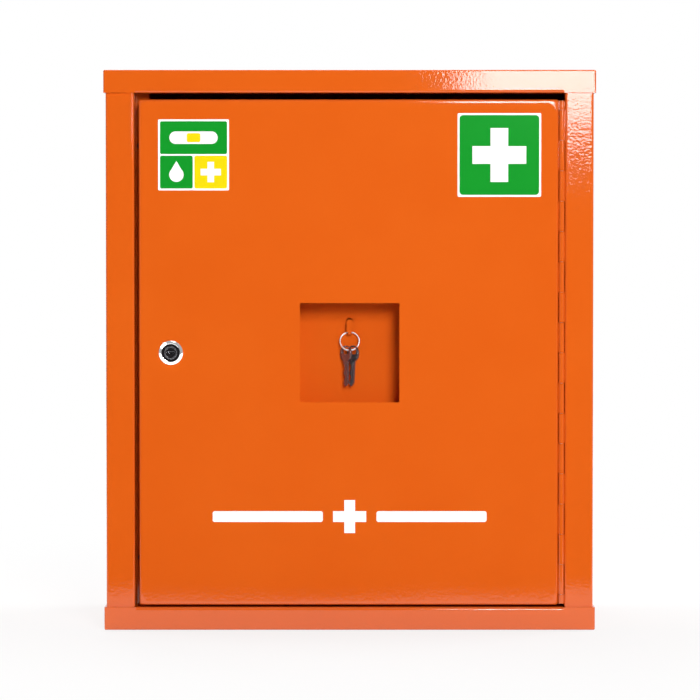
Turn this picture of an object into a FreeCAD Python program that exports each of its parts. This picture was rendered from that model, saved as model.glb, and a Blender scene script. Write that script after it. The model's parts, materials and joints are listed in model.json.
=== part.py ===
import FreeCAD, Part
import math
import os

# Wall cabinet for first aid supplies, all lengths in millimetres.
# X runs to the right, Y to the back and Z up. The origin is the middle of the underside.

Vec = FreeCAD.Vector
X_AXIS = Vec(1, 0, 0)
Y_AXIS = Vec(0, 1, 0)
Z_AXIS = Vec(0, 0, 1)

# Overall size
cabinet_width = 430.0
cabinet_height = 490.0
cabinet_depth = 200.0

# Sheet metal of the carcass and the door
sheet = 1.0
bend_radius = 1.0
overrun = 5.0
bore_sides = 12

# Top and bottom caps
cap_sheet = 1.5
cap_skirt = 20.0
cap_edge_radius = 1.3
cap_fit = 0.3
cap_return = 15.0
cap_return_rise = 6.0
cap_return_bend = 1.0
cap_return_end_gap = 1.0

# Side panels
front_flange = 25.0
stop_lip = 12.0
rear_flange = 15.0

# Wall fixing
wall_hole_radius = 4.0
wall_hole_spacing_x = 340.0
wall_hole_spacing_z = 370.0

# Door
door_gap_left = 3.8
door_gap_right = 5.6
door_gap_top = 5.7
door_gap_bottom = 1.8
door_depth = 18.0
door_rear_lip = 12.0

# Rubber door buffers
buffer_radius = 4.5
buffer_height = 2.0
buffer_clear = 0.2
buffer_from_end = 40.0

# Piano hinge
hinge_setback = 1.4
hinge_end_gap = 1.25
barrel_radius = 2.4
leaf_sheet = 1.1
leaf_depth = 14.0
knuckle_pitch = 26.5
knuckle_clear = 0.3
leaf_notch_clear = 0.3
pin_clear = 0.05

# Shelf rails
rail_width = 20.0
rail_depth = 10.0
rail_end_gap = 10.0
rail_front_setback = 60.0
rail_rear_setback = 25.0
slot_pitch = 25.0
slot_width = 12.0
slot_height = 6.0
slot_from_end = 15.0

# Shelves and their clips
shelf_fold = 15.0
shelf_front_setback = 50.0
shelf_back_gap = 1.0
shelf_side_gap = 0.5
lower_shelf_slot = 5
upper_shelf_slot = 11
clip_sheet = 1.2
clip_width = 10.0
clip_leg = 14.0
clip_ledge = 10.0
clip_hook = 6.0
clip_clear = 0.3

# Key niche in the door
window_size = 87.0
window_corner = 0.8
niche_step = 2.5
niche_depth = 32.0
niche_bend = 1.5
pane_thickness = 2.0
pane_overlap = 8.0
gasket_thickness = 1.0
gasket_step = 1.5
stud_radius = 2.0
stud_tip = 3.0
stud_from_pane = 6.5
stud_from_edge = 5.0
stud_clear = 0.2
nut_flats = 7.0
nut_height = 3.2

# Hook lanced out of the niche's back wall, heights above the window's middle
hook_foot = 15.1
hook_height = 13.6
hook_width = 5.5
hook_neck = 3.0
hook_gap = 5.2
hook_bend = 0.6
hook_tip_round = 2.5
lance_clear = 0.2

# Split ring for the keys
ring_diameter = 18.0
ring_wire = 1.0
ring_pitch = 1.5
ring_turns = 1.9
ring_biarcs = 8
ring_wire_sides = 6
ring_tilt_deg = 18.0
ring_seat_clear = 1.05

# Keys
key_thickness = 1.8
key_length = 36.0
key_bow_radius = 7.3
key_hole_width = 9.0
key_hole_height = 6.2
key_hole_corner = 1.8
key_hole_rim = 1.5
key_seat_clear = 1.85
key_blade_width = 5.8
door_key_twist_deg = 40.0
spare_key_twist_deg = 42.0
key_ring_angle_deg = 22.0
spare_key_lean_deg = 3.0
key_bitting_shares = ((0.0, 0.5), (0.3, 0.5), (0.36, 0.18), (0.46, 0.18), (0.52, 0.42),
                      (0.62, 0.42), (0.68, 0.1), (0.76, 0.1), (0.82, 0.36), (0.92, 0.36))
key_tip_share = 0.12

# Cam lock
lock_inset = 28.0
rosette_radius = 10.5
rosette_height = 3.0
rosette_bevel = 1.3
lock_recess_radius = 7.4
lock_recess_depth = 1.0
lock_barrel_radius = 9.0
lock_barrel_flat = 8.0
lock_barrel_end = 19.0
lock_hole_clear = 0.15
plug_radius = 5.6
plug_clear = 0.05
plug_sink = 0.4
plug_rim = 1.2
plug_face_depth = 0.5
keyway_width = 7.0
keyway_height = 2.0
keyway_depth = 13.0
lock_nut_flats = 24.0
lock_nut_height = 4.0
cam_thickness = 2.0
cam_clear = 0.5
cam_reach = 30.0
cam_root = 8.0
cam_tip_half = 6.0
cam_root_round = 7.4
cam_tip_round = 3.0
drive_square = 7.0
drive_clear = 0.05
cam_screw_radius = 2.0
cam_screw_depth = 7.0
cam_screw_flats = 8.0
cam_screw_head = 2.6

# Places that follow from the sizes above
half_width = cabinet_width / 2
front = -cabinet_depth / 2
back = cabinet_depth / 2
body_half = half_width - cap_sheet - cap_fit
face = front + cap_sheet + cap_fit
frame_edge = body_half - front_flange
door_left = -frame_edge + door_gap_left
door_right = frame_edge - door_gap_right
door_bottom = cap_skirt + door_gap_bottom
door_top = cabinet_height - cap_skirt - door_gap_top
door_middle = (door_bottom + door_top) / 2
door_rear = face + door_depth
door_inside = face + sheet
stop_face = door_rear + buffer_height + buffer_clear
window_x = (door_left + door_right) / 2 + (door_gap_right - door_gap_left) / 2

hinge_x = frame_edge - door_gap_right / 2
hinge_y = face + hinge_setback
hinge_bottom = door_bottom + hinge_end_gap
hinge_length = door_top - door_bottom - 2 * hinge_end_gap
pin_radius = barrel_radius - leaf_sheet - pin_clear

wall_inside = body_half - sheet
rail_face = wall_inside - rail_depth
rail_bottom = cap_skirt + rail_end_gap
rail_top = cabinet_height - cap_skirt - rail_end_gap
rail_front_y = front + rail_front_setback
rail_rear_y = back - rail_rear_setback
first_slot = rail_bottom + slot_from_end

pane_front = door_inside + gasket_thickness
flange_front = pane_front + pane_thickness
niche_back = face + niche_depth
pane_half = window_size / 2 + pane_overlap
niche_half = window_size / 2 + niche_step
stud_offset = pane_half + stud_from_pane
niche_flange_half = stud_offset + stud_from_edge

lock_x = door_left + lock_inset
lock_z = door_middle
lock_back = face + lock_barrel_end
cam_front = stop_face + sheet + cam_clear
cam_back = cam_front + cam_thickness
plug_face = face - rosette_height + plug_sink


def block(x0, x1, y0, y1, z0, z1):
    """Box between two corners."""
    return Part.makeBox(x1 - x0, y1 - y0, z1 - z0, Vec(x0, y0, z0))


def rod(radius, start, direction, length):
    """Cylinder from a start point along a direction."""
    return Part.makeCylinder(radius, length, start, direction)


def faceted_bore(radius, start, direction, length):
    """Tool for a bore that its pin or stud hides: flats that touch the round bore from outside."""
    corner = radius / math.cos(math.pi / bore_sides)
    lie = FreeCAD.Rotation(Z_AXIS, direction)
    turns = [2 * math.pi * step / bore_sides for step in range(bore_sides + 1)]
    points = [start + lie.multVec(Vec(corner * math.cos(turn), corner * math.sin(turn), 0)) for turn in turns]
    return Part.Face(Part.makePolygon(points)).extrude(direction * length)


def rounded(solid, radius, chosen):
    """Solid with the edges that chosen(edge) accepts rounded to one radius."""
    return solid.makeFillet(radius, [edge for edge in solid.Edges if chosen(edge)])


def bevelled(solid, width, chosen):
    """Solid with the edges that chosen(edge) accepts bevelled at 45 degrees."""
    return solid.makeChamfer(width, [edge for edge in solid.Edges if chosen(edge)])


def corner_arc(before, corner, after, radius):
    """Start, middle and end of the arc that rounds one corner of an outline."""
    into = (corner - before).normalize()
    away = (after - corner).normalize()
    turn = into.getAngle(away)
    reach = radius * math.tan(turn / 2)
    start = corner - into * reach
    end = corner + away * reach
    bisector = (away - into).normalize()
    centre = corner + bisector * (radius / math.cos(turn / 2))
    return start, centre - bisector * radius, end


def outline(points, radii):
    """Closed wire of straight runs and corner arcs, one radius for each point."""
    stops = []
    for index, corner in enumerate(points):
        if radii[index] > 0:
            after = points[(index + 1) % len(points)]
            stops.append(corner_arc(points[index - 1], corner, after, radii[index]))
        else:
            stops.append((corner, None, corner))
    edges = []
    for index, (start, middle, end) in enumerate(stops):
        if middle is not None:
            edges.append(Part.Arc(start, middle, end).toShape())
        following = stops[(index + 1) % len(stops)][0]
        if not end.isEqual(following, Part.Precision.confusion()):
            edges.append(Part.LineSegment(end, following).toShape())
    return Part.Wire(edges)


def prism(points, radii, axis, start, length):
    """Solid along an axis from a section: (x, y) for Z, (y, z) for X and (x, z) for Y."""
    if axis == Z_AXIS:
        corners = [Vec(u, v, start) for u, v in points]
    elif axis == X_AXIS:
        corners = [Vec(start, u, v) for u, v in points]
    else:
        corners = [Vec(u, start, v) for u, v in points]
    solid = Part.Face(outline(corners, radii)).extrude(axis * length)
    if solid.Volume < 0:
        solid.reverse()
    return solid


def bent_sheet(path, thickness, inside_radius, axis, start, length):
    """Folded sheet: path runs along one face of its section and the metal lies to the left.

    With no inside radius the folds are sharp.
    """
    points = [Vec(u, v, 0) for u, v in path]
    runs = [(after - before).normalize() for before, after in zip(points, points[1:])]
    lefts = [Vec(-run.y, run.x, 0) for run in runs]
    far = [points[0] + lefts[0] * thickness]
    near_radii = [0]
    far_radii = [0]
    for index in range(1, len(runs)):
        before, after = lefts[index - 1], lefts[index]
        far.append(points[index] + (before + after) * (thickness / (1 + before.dot(after))))
        turns_left = runs[index - 1].cross(runs[index]).z > 0
        inner = inside_radius or 0
        outer = inner + thickness if inside_radius else 0
        near_radii.append(outer if turns_left else inner)
        far_radii.append(inner if turns_left else outer)
    far.append(points[-1] + lefts[-1] * thickness)
    corners = [(point.x, point.y) for point in points + far[::-1]]
    radii = near_radii + [0] + [0] + far_radii[::-1]
    return prism(corners, radii, axis, start, length)


def square_plate(half, corner, y0, y1):
    """Square plate in the door's plane, centred on the window."""
    points = [(window_x - half, door_middle - half), (window_x + half, door_middle - half),
              (window_x + half, door_middle + half), (window_x - half, door_middle + half)]
    return prism(points, [corner] * len(points), Y_AXIS, y0, y1 - y0)


def hexagon(flats, x, z, y0, height):
    """Hexagonal prism along Y with the given width across its flats."""
    reach = flats / math.sqrt(3)
    turns = [math.radians(60 * step) for step in range(6)]
    points = [(x + reach * math.cos(turn), z + reach * math.sin(turn)) for turn in turns]
    return prism(points, [0] * len(points), Y_AXIS, y0, height)


def group(solids):
    """Separate solids kept together in one node."""
    return Part.makeCompound(solids)


def mirrored_x(solid):
    """The same piece on the other side of the cabinet."""
    return solid.mirror(Vec(0, 0, 0), X_AXIS)


# Carcass

def make_top_cap():
    """Tray over the carcass with a lip turned in along the door opening."""
    low = cabinet_height - cap_skirt
    outer = block(-half_width, half_width, front, back, low, cabinet_height)
    outer = rounded(outer, cap_edge_radius,
                    lambda edge: edge.CenterOfMass.y < back and edge.CenterOfMass.z > low)
    hollow = block(-half_width + cap_sheet, half_width - cap_sheet, front + cap_sheet,
                   back + overrun, low - overrun, cabinet_height - cap_sheet)
    lip_half = frame_edge - cap_return_end_gap
    lip_place = block(-lip_half, lip_half, front - overrun, front + cap_sheet + overrun,
                      low - overrun, low + cap_return_rise)
    lip_path = [(front, low + cap_return_rise), (front, low), (front + cap_return, low)]
    lip = bent_sheet(lip_path, cap_sheet, cap_return_bend, X_AXIS, -lip_half, 2 * lip_half)
    return outer.cut(hollow).cut(lip_place).fuse(lip).removeSplitter()


def make_bottom_cap():
    """The same tray the other way up under the carcass."""
    return make_top_cap().mirror(Vec(0, 0, cabinet_height / 2), Z_AXIS)


def make_side_panel(with_stop):
    """Left wall with its front flange, folded return and rear flange."""
    path = [(-body_half + rear_flange, back - sheet), (-body_half, back - sheet),
            (-body_half, face), (-frame_edge, face)]
    if with_stop:
        path += [(-frame_edge, stop_face), (-frame_edge + stop_lip, stop_face)]
    else:
        path += [(-frame_edge, stop_face + sheet)]
    height = cabinet_height - 2 * cap_sheet
    return bent_sheet(path, sheet, bend_radius, Z_AXIS, cap_sheet, height)


def wall_hole_places():
    """Middles of the four wall holes as (x, z)."""
    columns = (-wall_hole_spacing_x / 2, wall_hole_spacing_x / 2)
    rows = (cabinet_height / 2 - wall_hole_spacing_z / 2, cabinet_height / 2 + wall_hole_spacing_z / 2)
    return [(x, z) for x in columns for z in rows]


def make_back_panel():
    """Rear sheet with four holes for wall screws."""
    panel = block(-body_half, body_half, back - sheet, back, cap_sheet, cabinet_height - cap_sheet)
    holes = [rod(wall_hole_radius, Vec(x, back - sheet - overrun, z), Y_AXIS, sheet + 2 * overrun)
             for x, z in wall_hole_places()]
    return panel.cut(holes)


def make_rail(middle_y):
    """Slotted channel welded to the left wall."""
    low_y, high_y = middle_y - rail_width / 2, middle_y + rail_width / 2
    path = [(-wall_inside, low_y), (-rail_face, low_y), (-rail_face, high_y), (-wall_inside, high_y)]
    rail = bent_sheet(path, sheet, None, Z_AXIS, rail_bottom, rail_top - rail_bottom)
    count = int((rail_top - slot_from_end - first_slot) / slot_pitch) + 1
    slots = []
    for step in range(count):
        low = first_slot + step * slot_pitch
        slots.append(block(-rail_face - sheet - overrun, -rail_face + overrun,
                           middle_y - slot_width / 2, middle_y + slot_width / 2,
                           low, low + slot_height))
    return rail.cut(slots)


def shelf_seat(slot):
    """Height of the clip ledges that hook into one row of slots."""
    return first_slot + slot * slot_pitch + clip_sheet - clip_leg


def make_shelf_clip(middle_y, slot):
    """Bent strip that hooks into a slot of the left rails and ends in a ledge."""
    seat = shelf_seat(slot)
    leg_x = -rail_face + clip_clear + clip_sheet
    hook_x = -rail_face - sheet - clip_clear
    top = seat + clip_leg
    path = [(-rail_face + clip_ledge, seat), (leg_x, seat), (leg_x, top), (hook_x, top),
            (hook_x, top + clip_hook)]
    low_y = middle_y - clip_width / 2
    return bent_sheet(path, clip_sheet, None, Y_AXIS, low_y, clip_width)


def make_shelf_clips():
    """Eight clips, four under each shelf."""
    clips = []
    for slot in (lower_shelf_slot, upper_shelf_slot):
        for middle_y in (rail_front_y, rail_rear_y):
            clip = make_shelf_clip(middle_y, slot)
            clips += [clip, mirrored_x(clip)]
    return group(clips)


def long_top_edge(edge, top):
    """True for the front and rear edges at one height."""
    middle = edge.CenterOfMass
    return abs(middle.z - top) < Part.Precision.confusion() and abs(middle.x) < sheet


def make_shelf(slot):
    """Tray with all four edges folded down."""
    half = rail_face - clip_clear - clip_sheet - shelf_side_gap
    low = shelf_seat(slot)
    near, far = front + shelf_front_setback, back - 2 * sheet - shelf_back_gap
    outer = block(-half, half, near, far, low, low + shelf_fold)
    outer = rounded(outer, bend_radius + sheet, lambda edge: long_top_edge(edge, low + shelf_fold))
    inside_top = low + shelf_fold - sheet
    hollow = block(-half + sheet, half - sheet, near + sheet, far - sheet, low - overrun, inside_top)
    hollow = rounded(hollow, bend_radius, lambda edge: long_top_edge(edge, inside_top))
    return outer.cut(hollow)


def make_door_buffers():
    """Two rubber pads on the stop lip, just clear of the closed door."""
    x = -frame_edge + stop_lip / 2
    places = (door_bottom + buffer_from_end, door_top - buffer_from_end)
    return group([rod(buffer_radius, Vec(x, stop_face - buffer_height, z), Y_AXIS, buffer_height)
                  for z in places])


# Piano hinge

def knuckle_spans():
    """Start and end height of each knuckle from the bottom up, with a short one at each end."""
    full = 2 * int(hinge_length / knuckle_pitch / 2)
    short = (hinge_length - full * knuckle_pitch) / 2
    joints = [hinge_bottom + short + step * knuckle_pitch for step in range(full + 1)]
    edges = [hinge_bottom] + joints + [hinge_bottom + hinge_length]
    spans = []
    for low, high in zip(edges, edges[1:]):
        start = low if low == edges[0] else low + knuckle_clear / 2
        end = high if high == edges[-1] else high - knuckle_clear / 2
        spans.append((start, end))
    return spans


def make_hinge_leaf(wall_x, side, first):
    """Leaf on the wall at wall_x, with every other knuckle rolled round the pin."""
    inner_x = wall_x + side * leaf_sheet
    low_x, high_x = min(wall_x, inner_x), max(wall_x, inner_x)
    notch_y = hinge_y + barrel_radius + leaf_notch_clear
    end_y = hinge_y + leaf_depth
    strip = block(low_x, high_x, notch_y, end_y, hinge_bottom, hinge_bottom + hinge_length)
    pieces = []
    for start, end in knuckle_spans()[first::2]:
        pieces.append(rod(barrel_radius, Vec(hinge_x, hinge_y, start), Z_AXIS, end - start))
        pieces.append(block(low_x, high_x, hinge_y, notch_y, start, end))
    bore = faceted_bore(barrel_radius - leaf_sheet, Vec(hinge_x, hinge_y, hinge_bottom - overrun), Z_AXIS,
                        hinge_length + 2 * overrun)
    return strip.fuse(pieces).cut(bore).removeSplitter()


def make_hinge_pin():
    """Wire pin through all knuckles."""
    return rod(pin_radius, Vec(hinge_x, hinge_y, hinge_bottom), Z_AXIS, hinge_length)


# Door

def make_door_panel():
    """Folded pan with lips turned in at the rear, the window and the lock hole."""
    outer = rounded(block(door_left, door_right, face, door_rear, door_bottom, door_top),
                    bend_radius + sheet, lambda edge: edge.CenterOfMass.y < door_rear)
    hollow = block(door_left + sheet, door_right - sheet, door_inside, door_rear - sheet,
                   door_bottom + sheet, door_top - sheet)
    rear_opening = block(door_left + door_rear_lip, door_right - door_rear_lip,
                         door_rear - sheet - overrun, door_rear + overrun,
                         door_bottom + door_rear_lip, door_top - door_rear_lip)
    window = square_plate(window_size / 2, window_corner, face - overrun, door_inside + overrun)
    lock_hole = lock_barrel_rod(lock_hole_clear, face - overrun, door_inside + overrun)
    return outer.cut(hollow).cut([rear_opening, window, lock_hole])


def make_window_gasket():
    """Square seal between the door sheet and the pane."""
    seal = square_plate(pane_half, 0, door_inside, pane_front)
    return seal.cut(square_plate(window_size / 2 + gasket_step, 0,
                                 door_inside - overrun, pane_front + overrun))


def make_key_window():
    """Clear pane clamped in front of the niche."""
    return square_plate(pane_half, 0, pane_front, flange_front)


def stud_places():
    """Middles of the four weld studs as (x, z)."""
    offsets = (-stud_offset, stud_offset)
    return [(window_x + dx, door_middle + dz) for dx in offsets for dz in offsets]


def make_key_box():
    """Folded niche box with a flange on the studs and a hook lanced out of its back wall."""
    outer_half = niche_half + sheet
    shell = square_plate(outer_half, niche_bend + sheet, flange_front, niche_back + sheet)
    flange = square_plate(niche_flange_half, 0, flange_front, flange_front + sheet)
    hollow = square_plate(niche_half, niche_bend, flange_front - overrun, niche_back)
    holes = [faceted_bore(stud_radius + stud_clear, Vec(x, flange_front - overrun, z), Y_AXIS, 2 * overrun)
             for x, z in stud_places()]
    box = shell.fuse(flange).cut([hollow] + holes).removeSplitter()
    return box.cut(lance_cut()).fuse(hook_tongue()).removeSplitter()


def hook_base():
    """Height of the underside of the hook's foot."""
    return door_middle + hook_foot


def hook_tongue():
    """Tongue bent out of the back wall: a narrow foot, then an upright that holds the ring."""
    base = hook_base()
    tip_y = niche_back - hook_gap - sheet
    path = [(tip_y, base + hook_height), (tip_y, base), (niche_back + sheet, base)]
    tongue = bent_sheet(path, sheet, hook_bend, X_AXIS, window_x - hook_width / 2, hook_width)
    neck_top = base + sheet + hook_bend + ring_wire
    sides = []
    for side in (-1, 1):
        near = window_x + side * hook_neck / 2
        far = window_x + side * (hook_width / 2 + overrun)
        sides.append(block(min(near, far), max(near, far), tip_y - overrun, niche_back + sheet + overrun,
                           base - overrun, neck_top))
    tip = prism([(window_x - hook_width / 2, base - overrun), (window_x + hook_width / 2, base - overrun),
                 (window_x + hook_width / 2, base + hook_height),
                 (window_x - hook_width / 2, base + hook_height)],
                [0, 0, hook_tip_round, hook_tip_round], Y_AXIS, tip_y - overrun,
                hook_gap + 2 * sheet + 2 * overrun)
    return tongue.cut(sides).common(tip)


def lance_cut():
    """Opening that the tongue leaves in the back wall, above its foot."""
    half = hook_width / 2 + lance_clear
    low = hook_base() + sheet
    high = low + hook_height + lance_clear
    points = [(window_x - half, low), (window_x + half, low), (window_x + half, high), (window_x - half, high)]
    radii = [0, 0, hook_tip_round + lance_clear, hook_tip_round + lance_clear]
    return prism(points, radii, Y_AXIS, niche_back - sheet, 2 * sheet + overrun)


def make_key_box_studs():
    """Four studs welded to the inside of the door."""
    length = flange_front + sheet + nut_height + stud_tip - door_inside
    return group([rod(stud_radius, Vec(x, door_inside, z), Y_AXIS, length) for x, z in stud_places()])


def make_key_box_nuts():
    """Nuts that clamp the niche's flange, pane and gasket to the door."""
    nuts = []
    for x, z in stud_places():
        nut = hexagon(nut_flats, x, z, flange_front + sheet, nut_height)
        bore = faceted_bore(stud_radius + pin_clear, Vec(x, flange_front - overrun, z), Y_AXIS,
                            nut_height + 2 * overrun)
        nuts.append(nut.cut(bore))
    return group(nuts)


# Cam lock

def lock_barrel_rod(clear, y0, y1):
    """Rod with two flats, as the lock's barrel and, with clearance, as its hole."""
    rod_round = rod(lock_barrel_radius + clear, Vec(lock_x, y0, lock_z), Y_AXIS, y1 - y0)
    half = lock_barrel_radius + overrun
    between = block(lock_x - half, lock_x + half, y0 - overrun, y1 + overrun,
                    lock_z - lock_barrel_flat - clear, lock_z + lock_barrel_flat + clear)
    return rod_round.common(between)


def make_lock_housing():
    """Rosette with a stepped recess on a flatted barrel, bored for the plug."""
    rosette = rod(rosette_radius, Vec(lock_x, face - rosette_height, lock_z), Y_AXIS, rosette_height)
    rosette = bevelled(rosette, rosette_bevel,
                       lambda edge: edge.Closed and edge.CenterOfMass.y < face - rosette_height / 2)
    barrel = lock_barrel_rod(0, face, lock_back)
    recess = rod(lock_recess_radius, Vec(lock_x, face - rosette_height - overrun, lock_z), Y_AXIS,
                 overrun + lock_recess_depth)
    bore = rod(plug_radius + plug_clear, Vec(lock_x, face - rosette_height - overrun, lock_z), Y_AXIS,
               rosette_height + lock_barrel_end + 2 * overrun)
    return rosette.fuse(barrel).removeSplitter().cut([recess, bore])


def make_lock_nut():
    """Thin hexagon nut that clamps the housing inside the door."""
    nut = hexagon(lock_nut_flats, lock_x, lock_z, door_inside, lock_nut_height)
    bore = rod(lock_barrel_radius + pin_clear, Vec(lock_x, door_inside - overrun, lock_z), Y_AXIS,
               lock_nut_height + 2 * overrun)
    return nut.cut(bore)


def square_drive(half, y0, y1):
    """Square along the lock's axis."""
    return block(lock_x - half, lock_x + half, y0, y1, lock_z - half, lock_z + half)


def make_lock_plug():
    """Turning core: rimmed face with a keyway, round body, square drive and screw hole."""
    body = rod(plug_radius, Vec(lock_x, plug_face, lock_z), Y_AXIS, cam_front - plug_face)
    drive = square_drive(drive_square / 2, cam_front, cam_back)
    dish = rod(plug_radius - plug_rim, Vec(lock_x, plug_face - overrun, lock_z), Y_AXIS,
               overrun + plug_face_depth)
    keyway = block(lock_x - keyway_width / 2, lock_x + keyway_width / 2, plug_face - overrun,
                   plug_face + keyway_depth, lock_z - keyway_height / 2, lock_z + keyway_height / 2)
    hole_depth = cam_screw_depth + cam_clear
    screw_hole = rod(cam_screw_radius + pin_clear, Vec(lock_x, cam_back - hole_depth, lock_z), Y_AXIS,
                     hole_depth + overrun)
    return body.fuse(drive).cut([dish, keyway, screw_hole])


def make_lock_cam():
    """Tapered cam on the square drive, pointing down while unlocked."""
    points = [(lock_x - cam_root, lock_z + cam_root), (lock_x - cam_tip_half, lock_z - cam_reach),
              (lock_x + cam_tip_half, lock_z - cam_reach), (lock_x + cam_root, lock_z + cam_root)]
    radii = [cam_root_round, cam_tip_round, cam_tip_round, cam_root_round]
    cam = prism(points, radii, Y_AXIS, cam_front, cam_thickness)
    return cam.cut(square_drive(drive_square / 2 + drive_clear, cam_front - overrun, cam_back + overrun))


def make_cam_screw():
    """Hexagon head screw that holds the cam on the plug."""
    head = hexagon(cam_screw_flats, lock_x, lock_z, cam_back, cam_screw_head)
    shank = rod(cam_screw_radius, Vec(lock_x, cam_back - cam_screw_depth, lock_z), Y_AXIS, cam_screw_depth)
    return head.fuse(shank)


# Keys on their ring

ring_radius = (ring_diameter - ring_wire) / 2
ring_seat = Vec(window_x, niche_back - hook_gap / 2,
                hook_base() + sheet + ring_wire / 2 + ring_seat_clear)
ring_top_turn = 0.25 - (2 - ring_turns) / 2
ring_tilt = FreeCAD.Rotation(X_AXIS, -ring_tilt_deg)


def coil_local(turn):
    """Point of the wire's middle line, the ring's own axis along Y."""
    angle = math.radians(360 * (turn - ring_top_turn))
    advance = ring_pitch * (turn - ring_turns / 2)
    return Vec(-ring_radius * math.sin(angle), advance, ring_radius * math.cos(angle))


def coil_heading(turn):
    """Unit direction of the wire's middle line."""
    angle = math.radians(360 * (turn - ring_top_turn))
    rate = 2 * math.pi * ring_radius
    return Vec(-rate * math.cos(angle), ring_pitch, -rate * math.sin(angle)).normalize()


def pair_local(turn):
    """Middle between the two passes of the wire at one place of the ring."""
    return (coil_local(turn) + coil_local(turn + 1)) * 0.5


def ring_place(point):
    """A point of the ring's own frame where it hangs on the hook."""
    return ring_seat + ring_tilt.multVec(point - pair_local(ring_top_turn))


def arc_from(start, heading, end):
    """Arc that leaves start along heading and ends at end."""
    chord = end - start
    along = Vec(chord).normalize()
    bulge = heading - along * heading.dot(along)
    half_turn = heading.getAngle(along)
    middle = start + chord * 0.5 + bulge.normalize() * (chord.Length / 2 * math.tan(half_turn / 2))
    return Part.Arc(start, middle, end).toShape()


def biarc(start, start_heading, end, end_heading):
    """Two arcs that join two points and keep the direction at both."""
    span = end - start
    headings = start_heading + end_heading
    spread = 2 * (1 - start_heading.dot(end_heading))
    lead = span.dot(headings)
    reach = (math.sqrt(lead * lead + spread * span.dot(span)) - lead) / spread
    middle = (start + end + (start_heading - end_heading) * reach) * 0.5
    back_arc = arc_from(end, end_heading * -1, middle)
    return [arc_from(start, start_heading, middle), back_arc]


def coil_gap():
    """Least gap between neighbouring passes of the wire, measured on points."""
    steps = 240
    points = [coil_local(ring_turns * step / steps) for step in range(steps + 1)]
    half_turn = steps / ring_turns / 2
    least = min(first.distanceToPoint(second) for index, first in enumerate(points)
                for second in points[index + int(half_turn):])
    return least - ring_wire


def wire_section():
    """Corners of the wire's faceted section, square to its start."""
    across = Vec(coil_heading(0)).cross(Y_AXIS).normalize()
    upward = across.cross(coil_heading(0)).normalize()
    turns = [2 * math.pi * step / ring_wire_sides for step in range(ring_wire_sides + 1)]
    return [coil_local(0) + (across * math.cos(turn) + upward * math.sin(turn)) * (ring_wire / 2)
            for turn in turns]


def make_key_ring():
    """Split ring: one wire wound through almost two turns."""
    stops = [ring_turns * step / ring_biarcs for step in range(ring_biarcs + 1)]
    edges = []
    for first, second in zip(stops, stops[1:]):
        edges += biarc(coil_local(first), coil_heading(first), coil_local(second), coil_heading(second))
    path = Part.Wire(Part.__sortEdges__(edges))
    section = Part.Wire(Part.makePolygon(wire_section()))
    wire = path.makePipeShell([section], True, False)
    wire.translate(pair_local(ring_top_turn) * -1)
    wire.rotate(Vec(0, 0, 0), X_AXIS, -ring_tilt_deg)
    wire.translate(ring_seat)
    return wire


def key_anchor(side):
    """Middle of the ring's wires where a key hangs, left (-1) or right (1) of the lowest point."""
    turn = ring_top_turn + 0.5 + side * key_ring_angle_deg / 360
    return ring_place(pair_local(turn))


def make_key(side, twist_deg, lean_deg):
    """Flat key with a round bow, an oblong hole and a notched blade, hung on the ring."""
    hole_top = ring_wire / 2 + key_seat_clear
    bow_top = hole_top + key_hole_rim
    bow_middle = bow_top - key_bow_radius
    tip = bow_top - key_length
    blade_top = bow_middle
    blade_length = blade_top - tip
    half = key_blade_width / 2
    bow = rod(key_bow_radius, Vec(-key_thickness / 2, 0, bow_middle), X_AXIS, key_thickness)
    cuts = [(key_blade_width * across, blade_top - blade_length * down)
            for down, across in key_bitting_shares]
    points = cuts + [(half * key_tip_share, tip), (-half * key_tip_share, tip),
                     (-half, tip + half), (-half, blade_top)]
    blade = prism(points, [0] * len(points), X_AXIS, -key_thickness / 2, key_thickness)
    hole_half = key_hole_width / 2
    hole_points = [(-hole_half, hole_top - key_hole_height), (hole_half, hole_top - key_hole_height),
                   (hole_half, hole_top), (-hole_half, hole_top)]
    hole = prism(hole_points, [key_hole_corner] * len(hole_points), X_AXIS,
                 -key_thickness / 2 - overrun, key_thickness + 2 * overrun)
    key = bow.fuse(blade).cut(hole).removeSplitter()
    key.rotate(Vec(0, 0, 0), Z_AXIS, twist_deg)
    key.rotate(Vec(0, 0, 0), Y_AXIS, lean_deg)
    key.translate(key_anchor(side))
    return key


nodes = {
    "back_panel": make_back_panel(),
    "left_side_panel": make_side_panel(True),
    "right_side_panel": mirrored_x(make_side_panel(False)),
    "top_cap": make_top_cap(),
    "bottom_cap": make_bottom_cap(),
    "left_front_rail": make_rail(rail_front_y),
    "left_rear_rail": make_rail(rail_rear_y),
    "right_front_rail": mirrored_x(make_rail(rail_front_y)),
    "right_rear_rail": mirrored_x(make_rail(rail_rear_y)),
    "shelf_clips": make_shelf_clips(),
    "lower_shelf": make_shelf(lower_shelf_slot),
    "upper_shelf": make_shelf(upper_shelf_slot),
    "door_buffers": make_door_buffers(),
    "hinge_frame_leaf": make_hinge_leaf(frame_edge, -1, 0),
    "door_hinge_leaf": make_hinge_leaf(door_right, 1, 1),
    "hinge_pin": make_hinge_pin(),
    "door_panel": make_door_panel(),
    "window_gasket": make_window_gasket(),
    "key_window": make_key_window(),
    "key_box": make_key_box(),
    "key_box_studs": make_key_box_studs(),
    "key_box_nuts": make_key_box_nuts(),
    "lock_housing": make_lock_housing(),
    "lock_nut": make_lock_nut(),
    "lock_plug": make_lock_plug(),
    "lock_cam": make_lock_cam(),
    "cam_screw": make_cam_screw(),
    "key_ring": make_key_ring(),
    "door_key": make_key(-1, door_key_twist_deg, 0),
    "spare_key": make_key(1, spare_key_twist_deg, spare_key_lean_deg),
}

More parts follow.
